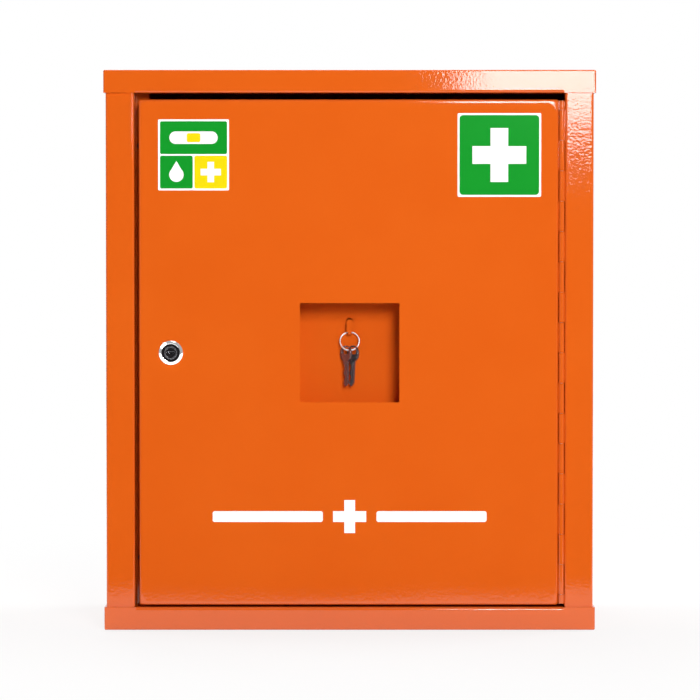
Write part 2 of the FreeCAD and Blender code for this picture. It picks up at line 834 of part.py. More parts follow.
os.makedirs("parts", exist_ok=True)
for name, shape in nodes.items():
    shape.exportStep("parts/" + name + ".step")
    print(name, "solids", len(shape.Solids), "valid", shape.isValid(), "volume", round(shape.Volume, 2))
print("least gap of the ring's wire to itself", round(coil_gap(), 3))
for label, point in (("ring seat", ring_seat), ("door key", key_anchor(-1)), ("spare key", key_anchor(1))):
    print(label, [round(value, 3) for value in point])
print("hinge axis", round(hinge_x, 3), round(hinge_y, 3), "lock axis", round(lock_x, 3), round(lock_z, 3))
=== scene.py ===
"""Dresses the first aid cabinet: finishes, stickers, lock, ring and keys, camera and studio.

All lengths are in metres in the cabinet's own frame: X to the right, Y to the back, Z up.
"""

import json
import logging
import math
from dataclasses import dataclass
from enum import Enum

import bmesh
import bpy
from mathutils import Color, Matrix, Vector


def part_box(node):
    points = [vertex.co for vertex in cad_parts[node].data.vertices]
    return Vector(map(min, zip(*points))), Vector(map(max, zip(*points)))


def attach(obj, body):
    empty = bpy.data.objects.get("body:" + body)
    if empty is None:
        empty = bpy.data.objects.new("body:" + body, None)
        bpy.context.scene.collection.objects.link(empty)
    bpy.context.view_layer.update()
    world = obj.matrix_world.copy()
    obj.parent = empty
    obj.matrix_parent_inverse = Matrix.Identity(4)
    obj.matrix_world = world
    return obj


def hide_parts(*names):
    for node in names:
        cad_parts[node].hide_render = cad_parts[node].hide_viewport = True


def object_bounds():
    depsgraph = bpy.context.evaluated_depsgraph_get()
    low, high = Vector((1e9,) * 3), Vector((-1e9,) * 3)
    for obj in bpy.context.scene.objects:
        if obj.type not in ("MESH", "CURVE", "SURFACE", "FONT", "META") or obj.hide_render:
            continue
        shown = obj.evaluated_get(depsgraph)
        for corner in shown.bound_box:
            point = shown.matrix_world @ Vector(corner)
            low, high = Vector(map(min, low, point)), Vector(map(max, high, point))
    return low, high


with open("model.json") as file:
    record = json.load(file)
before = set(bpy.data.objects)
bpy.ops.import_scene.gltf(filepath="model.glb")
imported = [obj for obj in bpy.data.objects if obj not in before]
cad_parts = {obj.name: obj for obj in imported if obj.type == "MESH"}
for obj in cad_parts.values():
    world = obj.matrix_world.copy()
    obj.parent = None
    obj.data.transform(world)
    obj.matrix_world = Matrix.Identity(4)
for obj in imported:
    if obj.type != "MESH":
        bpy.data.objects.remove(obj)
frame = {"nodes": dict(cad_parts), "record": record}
CAD_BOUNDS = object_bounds()

MM = 0.001
MERGE = 0.0005 * MM
WHITE = (1.0, 1.0, 1.0, 1.0)
LOG = logging.getLogger("cabinet")

Point2 = tuple[float, float]
Triple = tuple[float, float, float]
Socket = bpy.types.NodeSocket
Material = bpy.types.Material
Piece = bpy.types.Object

SOCKET_KINDS = {int: "NodeSocketInt", float: "NodeSocketFloat", Vector: "NodeSocketVector"}


def linear(*screen: int) -> Triple:
    """Turn red, green and blue screen values of 0 to 255 into linear light."""
    return tuple(Color([value / 255 for value in screen]).from_srgb_to_scene_linear())


def middle(node: str) -> Point2:
    """Middle of a frame node, seen from the front, as (x, z)."""
    low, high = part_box(node)
    return (low.x + high.x) / 2, (low.z + high.z) / 2


class Body(Enum):
    """Bodies of the cabinet that a piece can ride on."""

    CABINET = "cabinet"
    DOOR = "door"
    LOCK = "lock_core"
    RING = "ring"
    FIRST_KEY = "first_key"
    SECOND_KEY = "second_key"


class Slot(Enum):
    """Material slots of the record."""

    PAINT = "paint"
    ZINC = "zinc"
    CHROME = "chrome"
    LOCK_FACE = "lock_face"
    KEY_STEEL = "key_steel"
    RUBBER = "rubber"


class Fade(Enum):
    """Ways to go from one limit of a range to the other."""

    EVEN = "LINEAR"
    SOFT = "SMOOTHSTEP"


class NodePad:
    """A node tree with short calls that add, set and join its nodes."""

    def __init__(self, tree: bpy.types.NodeTree) -> None:
        """Start on a tree."""
        self.tree = tree

    def feed(self, target: Socket, value: object) -> None:
        """Link an input, or set it to a plain value.

        Args:
            target: the input.
            value: an output, a node that stands for its first output, or the plain value.
        """
        if isinstance(value, bpy.types.Node):
            value = value.outputs[0]
        if isinstance(value, bpy.types.NodeSocket):
            self.tree.links.new(value, target)
        else:
            target.default_value = value

    def add(self, kind: str, operation: str = "", *values: object, **inputs: object) -> bpy.types.Node:
        """Add a node and feed its inputs.

        Args:
            kind: the node's type name.
            operation: what the node does, where it has a choice.
            values: what its first inputs get, in order.
            inputs: what other inputs get, by name, with spaces written as underscores.

        Returns:
            The new node.
        """
        node = self.tree.nodes.new(kind)
        if operation:
            node.operation = operation
        for target, value in zip(node.inputs, values):
            self.feed(target, value)
        for name, value in inputs.items():
            self.feed(node.inputs[name.replace("_", " ")], value)
        return node

    def reckon(self, operation: str, *values: object) -> Socket:
        """Join one to three values by an arithmetic operation."""
        return self.add("ShaderNodeMath", operation, *values).outputs["Value"]

    def along(self, place: Socket, direction: Triple) -> Socket:
        """Measure how far a place lies along a direction, whose length scales the result."""
        return self.add("ShaderNodeVectorMath", "DOT_PRODUCT", place, direction).outputs["Value"]

    def spread(self, source: Socket, low: float, high: float, before: Point2 = (0.0, 1.0),
               fade: Fade = Fade.EVEN) -> Socket:
        """Spread a value from one range over another.

        Args:
            source: the value's socket.
            low: result at the start of the range.
            high: result at its end.
            before: the value's own range.
            fade: how the result goes from low to high.

        Returns:
            The result's socket.
        """
        node = self.add("ShaderNodeMapRange", Value=source, From_Min=before[0], From_Max=before[1],
                        To_Min=low, To_Max=high)
        node.interpolation_type = fade.value
        return node.outputs["Result"]

    def mixed(self, share: Socket, first: Socket | float, second: Socket | float) -> Socket:
        """Mix two values by a share of the second."""
        return self.add("ShaderNodeMix", Factor=share, A=first, B=second).outputs["Result"]


@dataclass(frozen=True)
class Stance:
    """How far a panel stands out of true: its lean along X and Z, and a dish along Z."""

    lean: Point2
    dish: float = 0.0
    middle: float = 0.0


FRAME_STANCE = Stance((-0.012, -0.0245))
DOOR_STANCE = Stance((-0.014, -0.0155), 0.085, 0.243)


class FinishPad(NodePad):
    """Node tree of a finish, on the piece's own coordinates."""

    def __init__(self, name: str) -> None:
        """Start an empty material.

        Args:
            name: the material's name.
        """
        self.material = bpy.data.materials.new(name)
        self.material.use_nodes = True
        super().__init__(self.material.node_tree)
        self.tree.nodes.clear()
        self.place = self.add("ShaderNodeTexCoord").outputs["Object"]

    def noise(self, cells: float, detail: float, stretch: Triple = (1.0, 1.0, 1.0)) -> Socket:
        """Noise by cells per metre and octaves, on axes that can be stretched for brushed looks."""
        place = self.add("ShaderNodeMapping", Vector=self.place, Scale=stretch)
        return self.add("ShaderNodeTexNoise", Vector=place, Scale=cells, Detail=detail).outputs["Fac"]

    def slope(self, stance: Stance) -> Socket:
        """Height of a panel that stands out of true.

        Args:
            stance: its lean and dish.

        Returns:
            The height's socket.
        """
        flat = self.along(self.place, (stance.lean[0], 0.0, stance.lean[1]))
        above = self.reckon("SUBTRACT", self.along(self.place, (0.0, 0.0, 1.0)), stance.middle)
        bow = self.reckon("MULTIPLY", above, above)
        return self.reckon("ADD", flat, self.reckon("MULTIPLY", bow, stance.dish / 2))

    def rolled_edge(self, low: Point2, high: Point2, corner: float, width: float) -> Socket:
        """Square of how far a point lies into the rolled margin of a panel in the XZ plane.

        Args:
            low: lowest X and Z of the panel.
            high: highest X and Z of the panel.
            corner: radius of the margin's line at the panel's corners.
            width: width of the margin.

        Returns:
            A value that is 0 inside the margin's line and 1 at the panel's edge.
        """
        squares = []
        for axis, first, last in zip(((1.0, 0.0, 0.0), (0.0, 0.0, 1.0)), low, high):
            across = self.reckon("SUBTRACT", self.along(self.place, axis), (first + last) / 2)
            level = (last - first) / 2 - width - corner
            past = self.reckon("SUBTRACT", self.reckon("ABSOLUTE", across), level)
            outside = self.reckon("MAXIMUM", past, 0.0)
            squares.append(self.reckon("MULTIPLY", outside, outside))
        reach = self.reckon("SQRT", self.reckon("ADD", *squares))
        share = self.reckon("DIVIDE", self.reckon("SUBTRACT", reach, corner), width)
        inside = self.reckon("MAXIMUM", share, 0.0)
        return self.reckon("MULTIPLY", inside, inside)

    def varied(self, share: Socket, value: float, swing: float) -> Socket:
        """Vary a value by a swing down and up, as a share goes from 0 to 1."""
        return self.spread(share, value * (1 - swing), value * (1 + swing))

    def tint(self, share: Socket, first: Triple, second: Triple) -> Socket:
        """Mix two colours.

        Args:
            share: share of the second colour.
            first: colour at a share of 0.
            second: colour at a share of 1.

        Returns:
            The colour's socket.
        """
        node = self.add("ShaderNodeMix", Factor=share)
        node.data_type = "RGBA"
        targets = [socket for socket in node.inputs if socket.type == "RGBA"]
        for target, colour in zip(targets, (first, second)):
            self.feed(target, (*colour, 1.0))
        return next(socket for socket in node.outputs if socket.type == "RGBA")

    def bump(self, height: Socket, depth: float, under: Socket | None = None) -> Socket:
        """Bump of a given depth.

        Args:
            height: the height's socket.
            depth: height of a value of 1.
            under: another bump that this one lies on.

        Returns:
            The normal's socket.
        """
        node = self.add("ShaderNodeBump", Strength=1.0, Distance=depth, Height=height)
        if under is not None:
            self.feed(node.inputs["Normal"], under)
        return node.outputs["Normal"]

    def layered(self, share: Socket, first: bpy.types.Node, second: bpy.types.Node) -> bpy.types.Node:
        """Mix two shaders by a share of the second."""
        return self.add("ShaderNodeMixShader", "", share, first, second)

    def finish(self, shader: bpy.types.Node) -> Material:
        """Send a shader to the output and return the material."""
        self.add("ShaderNodeOutputMaterial", Surface=shader)
        return self.material


@dataclass(frozen=True)
class PowderCoat:
    """Glossy baked paint with orange peel and faint waves of the sheet below."""

    name: str
    stance: Stance
    colour: Triple = linear(216, 95, 24)
    shade: Triple = linear(211, 88, 19)
    cloud_cells: float = 15.3
    cloud_detail: float = 2.0
    roughness: float = 0.045
    roughness_swing: float = 0.2
    ior: float = 1.5
    specular: float = 0.31
    peel_cells: float = 440.0
    peel_detail: float = 1.5
    peel_depth: float = 0.038 * MM
    wave_cells: float = 9.0
    wave_depth: float = 0.6 * MM
    rolled: tuple[Point2, Point2] | None = None
    roll_width: float = 3.4 * MM
    roll_corner: float = 7.0 * MM
    roll_slope: float = 0.2

    def make(self) -> Material:
        """Build the paint.

        Returns:
            The material.
        """
        pad = FinishPad(self.name)
        peel = pad.noise(self.peel_cells, self.peel_detail)
        normal = pad.bump(pad.noise(self.wave_cells, 0.0), self.wave_depth)
        normal = pad.bump(pad.slope(self.stance), 1.0, normal)
        if self.rolled is not None:
            edge = pad.rolled_edge(*self.rolled, self.roll_corner, self.roll_width)
            normal = pad.bump(edge, -self.roll_slope * self.roll_width / 2, normal)
        clouds = pad.noise(self.cloud_cells, self.cloud_detail)
        paint = pad.add("ShaderNodeBsdfPrincipled", IOR=self.ior, Specular_IOR_Level=self.specular,
                        Base_Color=pad.tint(clouds, self.shade, self.colour),
                        Roughness=pad.varied(peel, self.roughness, self.roughness_swing),
                        Normal=pad.bump(peel, self.peel_depth, normal))
        return pad.finish(paint)


@dataclass(frozen=True)
class PlatedMetal:
    """Plated or polished metal with a fine grain."""

    name: str
    colour: Triple
    shade: Triple
    roughness: float
    metallic: float = 1.0
    roughness_swing: float = 0.3
    grain_cells: float = 900.0
    grain_detail: float = 3.0
    grain_stretch: Triple = (1.0, 1.0, 1.0)
    grain_depth: float = 0.004 * MM

    def make(self) -> Material:
        """Build the metal.

        Returns:
            The material.
        """
        pad = FinishPad(self.name)
        grain = pad.noise(self.grain_cells, self.grain_detail, self.grain_stretch)
        metal = pad.add("ShaderNodeBsdfPrincipled", Metallic=self.metallic,
                        Base_Color=pad.tint(grain, self.shade, self.colour),
                        Roughness=pad.varied(grain, self.roughness, self.roughness_swing),
                        Normal=pad.bump(grain, self.grain_depth))
        return pad.finish(metal)


@dataclass(frozen=True)
class Rubber:
    """Matt black rubber with a dusty grain."""

    name: str = "black_rubber"
    colour: Triple = (0.018, 0.018, 0.019)
    dust: Triple = (0.035, 0.034, 0.033)
    roughness: float = 0.72
    grain_cells: float = 800.0
    grain_detail: float = 3.0
    grain_depth: float = 0.03 * MM

    def make(self) -> Material:
        """Build the rubber.

        Returns:
            The material.
        """
        pad = FinishPad(self.name)
        grain = pad.noise(self.grain_cells, self.grain_detail)
        rubber = pad.add("ShaderNodeBsdfPrincipled", Roughness=self.roughness,
                         Base_Color=pad.tint(grain, self.colour, self.dust),
                         Normal=pad.bump(grain, self.grain_depth))
        return pad.finish(rubber)


@dataclass(frozen=True)
class Film:
    """Printed vinyl of a sticker: one ink with a soft gloss and faint bubbles under it."""

    name: str
    colour: Triple
    roughness: float = 0.07
    specular: float = 0.35
    stance: Stance = DOOR_STANCE
    faded_share: float = 0.96
    fading_cells: float = 60.0
    fading_detail: float = 2.0
    bubble_cells: float = 300.0
    bubble_detail: float = 1.0
    bubble_depth: float = 0.01 * MM

    def make(self) -> Material:
        """Build the film.

        Returns:
            The material.
        """
        pad = FinishPad(self.name)
        faded = tuple(channel * self.faded_share for channel in self.colour)
        fading = pad.noise(self.fading_cells, self.fading_detail)
        bubbles = pad.noise(self.bubble_cells, self.bubble_detail)
        normal = pad.bump(pad.slope(self.stance), 1.0)
        film = pad.add("ShaderNodeBsdfPrincipled", Specular_IOR_Level=self.specular,
                       Roughness=self.roughness, Base_Color=pad.tint(fading, faded, self.colour),
                       Normal=pad.bump(bubbles, self.bubble_depth, normal))
        return pad.finish(film)


@dataclass(frozen=True)
class ClearPane:
    """Clear sheet that reflects like glass and has a little haze."""

    name: str = "clear_pane"
    colour: Triple = (0.9, 0.93, 0.93)
    roughness: float = 0.04
    ior: float = 1.3
    haze: float = 0.008
    haze_cells: float = 25.0
    haze_detail: float = 3.0

    def make(self) -> Material:
        """Build the pane.

        Returns:
            The material.
        """
        pad = FinishPad(self.name)
        clear = pad.add("ShaderNodeBsdfTransparent")
        gloss = pad.add("ShaderNodeBsdfPrincipled", Base_Color=(*self.colour, 1.0), Metallic=1.0,
                        Roughness=self.roughness)
        fresnel = pad.add("ShaderNodeFresnel", IOR=self.ior)
        smears = pad.spread(pad.noise(self.haze_cells, self.haze_detail), 0.0, self.haze)
        return pad.finish(pad.layered(pad.reckon("ADD", fresnel, smears), clear, gloss))


class Finishes:
    """Every finish of the cabinet, made once."""

    def __init__(self) -> None:
        """Build the materials."""
        low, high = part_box("door_panel")
        self.paint = PowderCoat("orange_powder_coat", FRAME_STANCE).make()
        self.door_paint = PowderCoat("orange_powder_coat_door", DOOR_STANCE,
                                     rolled=((low.x, low.z), (high.x, high.z))).make()
        self.zinc = PlatedMetal("zinc_plate", (0.62, 0.61, 0.58), (0.46, 0.46, 0.45), 0.38).make()
        self.chrome = PlatedMetal("bright_chrome", (0.86, 0.86, 0.87), (0.78, 0.78, 0.8), 0.09).make()
        self.lock_face = PlatedMetal("dark_nickel", (0.42, 0.42, 0.45), (0.3, 0.3, 0.33), 0.22).make()
        # Black for the plug's dish, and painted shade for the rosette's recess.
        self.black_and_painted_shade = PlatedMetal("black_plastic", (0.014, 0.013, 0.015), (0.008, 0.008, 0.009),
                                      0.12, 0.0).make()
        self.key_steel = PlatedMetal("key_nickel", (0.45, 0.45, 0.48), (0.1, 0.1, 0.12), 0.2, 0.8,
                                     grain_cells=500.0, grain_stretch=(1.0, 1.0, 0.08)).make()
        self.ring_steel = PlatedMetal("ring_nickel", (0.95, 0.95, 0.95), (0.88, 0.88, 0.88),
                                      0.3, 0.4).make()
        self.rubber = Rubber().make()
        self.pane = ClearPane().make()
        self.white = Film("white_film", linear(253, 253, 253)).make()
        self.green = Film("green_film", linear(21, 146, 41)).make()
        self.yellow = Film("yellow_film", linear(233, 212, 18)).make()

    def of_slot(self, slot: Slot) -> Material:
        """Plain finish of a record slot."""
        return getattr(self, slot.value)


def coat(thing: Piece, material: Material) -> None:
    """Give an object one material.

    Args:
        thing: the object.
        material: its finish.
    """
    thing.data.materials.clear()
    thing.data.materials.append(material)
    LOG.info("%s wears %s", thing.name, material.name)


def wear(node: str, material: Material) -> None:
    """Give a frame node one material."""
    coat(frame["nodes"][node], material)


def settle(piece: Piece, body: Body, material: Material) -> None:
    """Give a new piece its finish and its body.

    Args:
        piece: the finished mesh object.
        body: the body that it rides on.
        material: its finish.
    """
    coat(piece, material)
    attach(piece, body.value)


def linked(name: str, shape: bmesh.types.BMesh | None = None) -> Piece:
    """Make an object in the scene.

    Args:
        name: the object's name.
        shape: its mesh, which is freed, or None for an empty mesh.

    Returns:
        The new object.
    """
    mesh = bpy.data.meshes.new(name)
    if shape is not None:
        shape.to_mesh(mesh)
        shape.free()
    piece = bpy.data.objects.new(name, mesh)
    bpy.context.scene.collection.objects.link(piece)
    return piece


def object_from(name: str, shape: bmesh.types.BMesh) -> Piece:
    """Turn a closed bmesh into an object with outward faces.

    Args:
        name: the object's name.
        shape: the mesh, which is freed.

    Returns:
        The new object.
    """
    bmesh.ops.remove_doubles(shape, verts=shape.verts, dist=MERGE)
    bmesh.ops.recalc_face_normals(shape, faces=shape.faces)
    return linked(name, shape)


def smoothed(piece: Piece, angle: float = 32.0) -> Piece:
    """Shade a piece smooth and keep its sharp edges.

    Args:
        piece: the object.
        angle: edges that turn by more degrees stay sharp.

    Returns:
        The same object.
    """
    piece.data.polygons.foreach_set("use_smooth", [True] * len(piece.data.polygons))
    piece.data.set_sharp_from_angle(angle=math.radians(angle))
    return piece


def applied(piece: Piece) -> Piece:
    """Turn a piece's modifiers into its plain mesh.

    Args:
        piece: the object.

    Returns:
        The same object.
    """
    graph = bpy.context.evaluated_depsgraph_get()
    mesh = bpy.data.meshes.new_from_object(piece.evaluated_get(graph), depsgraph=graph)
    piece.modifiers.clear()
    piece.data = mesh
    mesh.name = piece.name
    return piece


def turned(name: str, profile: list[Point2], centre: Point2, segments: int,
           closed: bool = False) -> Piece:
    """Turn a profile round an axis along Y.

    Args:
        name: the object's name.
        profile: points as (radius, y); an open profile starts and ends on the axis.
        centre: the axis as (x, z).
        segments: steps of the full turn.
        closed: True for a profile that closes on itself, which leaves a bore.

    Returns:
        The turned piece.
    """
    shape = bmesh.new()
    turns = [2 * math.pi * step / segments for step in range(segments)]
    rings = []
    for radius, y in profile:
        rings.append([shape.verts.new((centre[0] + radius * math.cos(turn), y,
                                       centre[1] + radius * math.sin(turn))) for turn in turns])
    pairs = list(zip(rings, rings[1:]))
    if closed:
        pairs.append((rings[-1], rings[0]))
    for first, second in pairs:
        for step in range(segments):
            after = (step + 1) % segments
            shape.faces.new((first[step], first[after], second[after], second[step]))
    return smoothed(object_from(name, shape))


class ShapePad(NodePad):
    """Geometry node tree of a piece, with a named input for each size."""

    def __init__(self, name: str, sizes: dict[str, int | float | Vector]) -> None:
        """Start a tree.

        Args:
            name: name of the tree and of the piece that it makes.
            sizes: value of each input by the input's name.
        """
        super().__init__(bpy.data.node_groups.new(name, "GeometryNodeTree"))
        self.sizes = sizes
        self.tree.interface.new_socket("Geometry", in_out="OUTPUT", socket_type="NodeSocketGeometry")
        for label, value in sizes.items():
            self.tree.interface.new_socket(label, in_out="INPUT", socket_type=SOCKET_KINDS[type(value)])
        self.inputs = self.add("NodeGroupInput").outputs

    def grow(self, shape: bpy.types.Node, material: Material) -> Piece:
        """Close the tree and turn what it makes into a plain mesh.

        Args:
            shape: the node that makes the geometry.
            material: the piece's finish.

        Returns:
            The piece.
        """
        whole = self.add("GeometryNodeRealizeInstances", Geometry=shape)
        finish = self.add("GeometryNodeSetMaterial", Geometry=whole, Material=material)
        self.add("NodeGroupOutput", Geometry=finish)
        piece = linked(self.tree.name)
        maker = piece.modifiers.new("maker", "NODES")
        maker.node_group = self.tree
        for socket in self.tree.interface.items_tree:
            if socket.in_out == "INPUT":
                maker[socket.identifier] = self.sizes[socket.name]
        return smoothed(applied(piece))


@dataclass(frozen=True)
class Rounded:
    """Copy of a frame node with small roundings on its edges, which stands for the node."""

    name: str
    node: str
    body: Body
    slot: Slot
    width: float
    steps: int = 2
    flat_deg: float = 0.6
    edge_deg: float = 30.0
    sharp_deg: float = 50.0

    def build(self, finishes: Finishes, cutters: tuple[Piece, ...] = ()) -> Piece:
        """Copy the node, merge it, cut it and round its edges.

        Args:
            finishes: the cabinet's finishes.
            cutters: closed pieces that are cut out of the copy and removed.

        Returns:
            The rounded copy.
        """
        shape = bmesh.new()
        shape.from_mesh(frame["nodes"][self.node].data)
        bmesh.ops.remove_doubles(shape, verts=shape.verts, dist=MERGE)
        bmesh.ops.dissolve_limit(shape, angle_limit=math.radians(self.flat_deg), verts=shape.verts,
                                 edges=shape.edges)
        piece = linked(self.name, shape)
        for cutter in cutters:
            cut = piece.modifiers.new("cut", "BOOLEAN")
            cut.operation = "DIFFERENCE"
            cut.solver = "EXACT"
            cut.object = cutter
        bevel = piece.modifiers.new("rounding", "BEVEL")
        bevel.limit_method = "ANGLE"
        bevel.angle_limit = math.radians(self.edge_deg)
        bevel.width = self.width
        bevel.segments = self.steps
        piece.modifiers.new("flat_faces", "WEIGHTED_NORMAL").keep_sharp = True
        applied(smoothed(piece, self.sharp_deg))
        for cutter in cutters:
            bpy.data.objects.remove(cutter)
        settle(piece, self.body, finishes.of_slot(self.slot))
        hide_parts(self.node)
        return piece


def rounded_box(width: float, height: float, radius: float, steps: int = 6) -> list[Point2]:
    """Outline of a rounded rectangle about the origin.

    Args:
        width: full width.
        height: full height.
        radius: corner radius.
        steps: points of each corner arc.

    Returns:
        The outline's points, counter-clockwise.
    """
    points = []
    for quarter, (side, up) in enumerate(((1, 1), (-1, 1), (-1, -1), (1, -1))):
        hub = (side * (width / 2 - radius), up * (height / 2 - radius))
        for step in range(steps + 1):
            turn = math.pi / 2 * (quarter + step / steps)
            points.append((hub[0] + radius * math.cos(turn), hub[1] + radius * math.sin(turn)))
    return points


def cross_outline(span: float, arm: float) -> list[Point2]:
    """Outline of a plain equal-armed cross about the origin.

    Args:
        span: from tip to tip.
        arm: width of an arm.

    Returns:
        The outline's points, counter-clockwise.
    """
    half, inner = span / 2, arm / 2
    points = []
    for turn in range(4):
        for x, z in ((half, -inner), (half, inner), (inner, inner)):
            for _ in range(turn):
                x, z = -z, x
            points.append((x, z))
    return points


def drop_outline(radius: float, tip: float, arc_deg: float = 270.0, steps: int = 24) -> list[Point2]:
    """Outline of a drop: the lower arc of a circle drawn up to a tip.

    Args:
        radius: the circle's radius.
        tip: height of the tip over the circle's middle.
        arc_deg: how much of the circle is kept, in degrees.
        steps: points of the arc.

    Returns:
        The outline's points, counter-clockwise.
    """
    points = []
    for step in range(steps + 1):
        turn = math.radians(arc_deg * (step / steps - 0.5) - 90)
        points.append((radius * math.cos(turn), radius * math.sin(turn)))
    return points + [(0.0, tip)]


@dataclass
class Sheet:
    """Thin closed plate in the plane of the door's front."""

    name: str
    outline: list[Point2]
    centre: Point2
    back: float
    thickness: float

    def build(self) -> Piece:
        """Make the plate.

        Returns:
            The plate as an object.
        """
        shape = bmesh.new()
        front = [shape.verts.new((self.centre[0] + x, self.back - self.thickness, self.centre[1] + z))
                 for x, z in self.outline]
        rear = [shape.verts.new((vert.co.x, self.back, vert.co.z)) for vert in front]
        shape.faces.new(front)
        shape.faces.new(rear[::-1])
        for index in range(len(front)):
            after = (index + 1) % len(front)
            shape.faces.new((front[index], rear[index], rear[after], front[after]))
        return object_from(self.name, shape)


@dataclass
class Carcass:
    """Sheet steel body with its rails, shelves, clips and buffers."""

    finishes: Finishes
    painted: tuple[str, ...] = ("back_panel", "left_side_panel", "right_side_panel", "top_cap",
                                "bottom_cap", "left_front_rail", "left_rear_rail",
                                "right_front_rail", "right_rear_rail", "lower_shelf", "upper_shelf",
                                "hinge_frame_leaf")
    leaf_sheet: float = 1.1 * MM
    weld_pitch: float = 53.0 * MM
    weld_count: int = 8
    weld: Triple = (0.12 * MM, 2.2 * MM, 2.2 * MM)
    weld_setback: float = 4.5 * MM
    weld_segments: int = 20
    weld_rings: int = 10
    rounded: tuple[Rounded, ...] = (
        Rounded("shelf_clips_smooth", "shelf_clips", Body.CABINET, Slot.ZINC, 0.25 * MM),
        Rounded("door_buffers_smooth", "door_buffers", Body.CABINET, Slot.RUBBER, 0.9 * MM, 4))

    def dress(self) -> None:
        """Put the finishes on the carcass."""
        for node in self.painted:
            wear(node, self.finishes.paint)
        wear("hinge_pin", self.finishes.zinc)

    def weld_row(self, name: str, start: Vector) -> Piece:
        """Row of shallow weld marks along Z.

        Args:
            name: the row's name.
            start: middle of the lowest mark.

        Returns:
            The row as one piece.
        """
        pad = ShapePad(name, {"Count": self.weld_count, "Start": start,
                              "Step": Vector((0.0, 0.0, self.weld_pitch)), "Mark": Vector(self.weld)})
        row = pad.add("GeometryNodeMeshLine", Count=pad.inputs["Count"],
                      Start_Location=pad.inputs["Start"], Offset=pad.inputs["Step"])
        dome = pad.add("GeometryNodeMeshUVSphere", Segments=self.weld_segments, Rings=self.weld_rings,
                       Radius=1.0)
        marks = pad.add("GeometryNodeInstanceOnPoints", Points=row, Instance=dome,
                        Scale=pad.inputs["Mark"])
        return pad.grow(marks, self.finishes.paint)

    def build_welds(self) -> None:
        """Spot weld marks on each hinge leaf."""
        low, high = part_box("hinge_frame_leaf")
        door_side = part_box("door_panel")[1].x
        first = (low.z + high.z) / 2 - self.weld_pitch * (self.weld_count - 1) / 2
        for name, x, body in (("frame_leaf_welds", high.x - self.leaf_sheet, Body.CABINET),
                              ("door_leaf_welds", door_side + self.leaf_sheet, Body.DOOR)):
            row = self.weld_row(name, Vector((x, high.y - self.weld_setback, first)))
            settle(row, body, self.finishes.paint)

    def build(self) -> None:
        """Make the weld marks, the clips and the buffers."""
        self.build_welds()
        for piece in self.rounded:
            piece.build(self.finishes)


